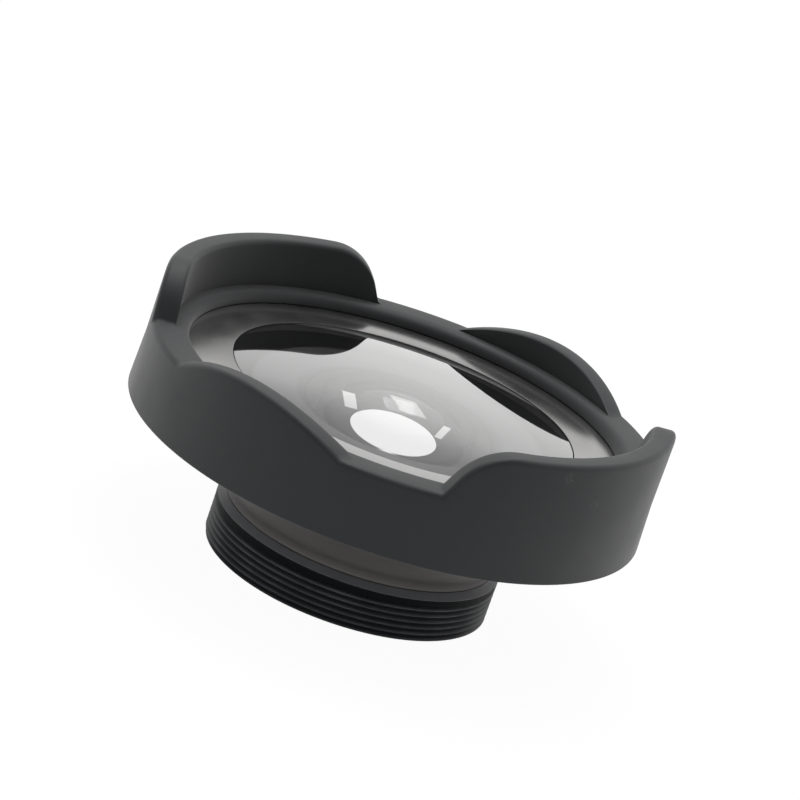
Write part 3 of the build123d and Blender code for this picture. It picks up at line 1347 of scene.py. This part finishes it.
@dataclass
class Studio:
    """Pale floor, white surroundings, soft lamps and the camera."""

    elevation: float = 18.72
    roll: float = 19.31
    look_at: float = 14.4
    distance: float = 316.5
    scale: float = 13.304
    image_side: float = 800.0
    image_place: Point = (404.4, 401.1)
    ceiling: Point = (21.5, 29.0)
    ceiling_level: float = 0.6
    front_level: float = 0.5
    from_left: float = 0.3
    light_depths: Point = (-0.8, 0.6)
    light_depth_level: float = 0.37
    light_heights: Point = (-0.2, 0.8)
    light_height_level: float = 0.7
    front_depths: Point = (-0.7, 0.4)
    floor_white: float = 0.96
    floor_mirrored: float = 0.4
    lamps: tuple[Lamp, ...] = (
        Lamp("top_lamp", (-0.03, 0.12, 0.45), (0.35, 0.35), 5.2),
        Lamp("window_left", (-0.0359, 0.8947, 0.4075), (0.0095, 0.0485), 1.0, 4.0),
        Lamp("window_middle", (0.0049, 0.8972, 0.3639), (0.0185, 0.0434), 0.6, 15.0),
        Lamp("window_right", (0.0341, 0.8946, 0.4087), (0.0055, 0.0470), 0.98, -3.0),
    )

    @staticmethod
    def _rays(shader: Shader) -> tuple[Signal, ...]:
        """Tells the kinds of ray apart.

        Args:
            shader: The material or world being built.

        Returns:
            1 or 0 for rays from the camera, off a gloss and through a glass.
        """
        path = shader.add("LightPath")
        names = ("Is Camera Ray", "Is Glossy Ray", "Is Transmission Ray")
        return tuple(Signal(shader, path.outputs[name]) for name in names)

    def _world(self) -> None:
        """White to look at, with a darker ceiling and front in reflections and as a light."""
        world = bpy.data.worlds.new("studio")
        bpy.context.scene.world = world
        shader = Shader(world)
        direction = shader.add("TexCoord").outputs["Generated"]
        across, depth, height = shader.split(direction)
        sideways = depth - across * self.from_left
        light = shader.ramp(sideways, *self.light_depths, self.light_depth_level, 1.0)
        light = light * shader.ramp(height, *self.light_heights, self.light_height_level, 1.0)
        low, high = (math.sin(math.radians(angle)) for angle in self.ceiling)
        mirrored = shader.ramp(height, low, high, 1.0, self.ceiling_level)
        mirrored = mirrored * shader.ramp(depth, *self.front_depths, self.front_level, 1.0)
        camera, gloss, through = self._rays(shader)
        share = (light + gloss * (mirrored - light)).floor_at(camera).floor_at(through)
        dark = shader.socket("Background", {"Color": grey(0.0), "Strength": 1.0})
        white = shader.socket("Background", {"Color": grey(1.0), "Strength": 1.0})
        shader.finish(shader.mix(share, dark, white))

    def _floor(self) -> None:
        """A pale floor that shows white and keeps a soft shadow."""
        bpy.ops.mesh.primitive_circle_add(vertices=96, radius=4.0, fill_type="NGON", location=(0, 0, 0))
        floor = bpy.context.object
        floor.name = "studio_floor"
        material, shader = new_material("floor_pale")
        vector, *_ = shader.place()
        mottle = shader.noise(vector, 30.0, 2.0)
        colour = shader.blend(mottle, grey(0.86), grey(0.9))
        paint = shader.principled({"Base Color": colour, "Roughness": 1.0, "Specular IOR Level": 0.0})
        glow = shader.socket("Emission", {"Color": grey(1.0), "Strength": 1.0})
        camera, gloss, through = self._rays(shader)
        share = (camera * self.floor_white).floor_at(through).floor_at(gloss * self.floor_mirrored)
        shader.finish(shader.mix(share, paint, glow))
        floor.data.materials.append(material)
        floor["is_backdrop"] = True

    def _camera(self) -> None:
        """The camera, at the photograph's angle, roll and distance."""
        tilt = math.radians(self.elevation)
        roll = math.radians(self.roll)
        right = Vector((1, 0, 0))
        up = Vector((0, math.sin(tilt), math.cos(tilt)))
        back = Vector((0, -math.cos(tilt), math.sin(tilt)))
        across = right * math.cos(roll) + up * math.sin(roll)
        upward = up * math.cos(roll) - right * math.sin(roll)
        middle = self.image_side / 2
        slide = across * ((middle - self.image_place[0]) / self.scale)
        slide += upward * ((self.image_place[1] - middle) / self.scale)
        at = (Vector((0, 0, self.look_at)) + back * self.distance + slide) * MM
        bpy.ops.object.camera_add(location=at)
        camera = bpy.context.object
        camera.name = "photo_camera"
        turn = Matrix((across, upward, back)).transposed().to_4x4()
        camera.matrix_world = Matrix.Translation(at) @ turn
        camera.data.sensor_width = 36.0
        camera.data.lens = self.scale * self.distance * camera.data.sensor_width / self.image_side
        camera.data.clip_start = 0.01
        bpy.context.scene.camera = camera

    def build(self) -> None:
        """Sets up the studio."""
        self._world()
        self._floor()
        for lamp in self.lamps:
            lamp.build()
        self._camera()
        bpy.context.scene.view_settings.view_transform = "Standard"
        log.info("studio ready")


def main(cad_box: tuple[Vector, Vector]) -> None:
    """Args:
        cad_box: The box of the solids; not used.
    """
    logging.basicConfig(level=logging.INFO, format="%(message)s")
    for part in (PetalHood(), FrictionRing(), Barrel(), MountThread(), FrontGroup(), RearGroup()):
        part.build()
    CarriedParts().dress_all()
    Studio().build()


if __name__ == "__main__":
    main(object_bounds())
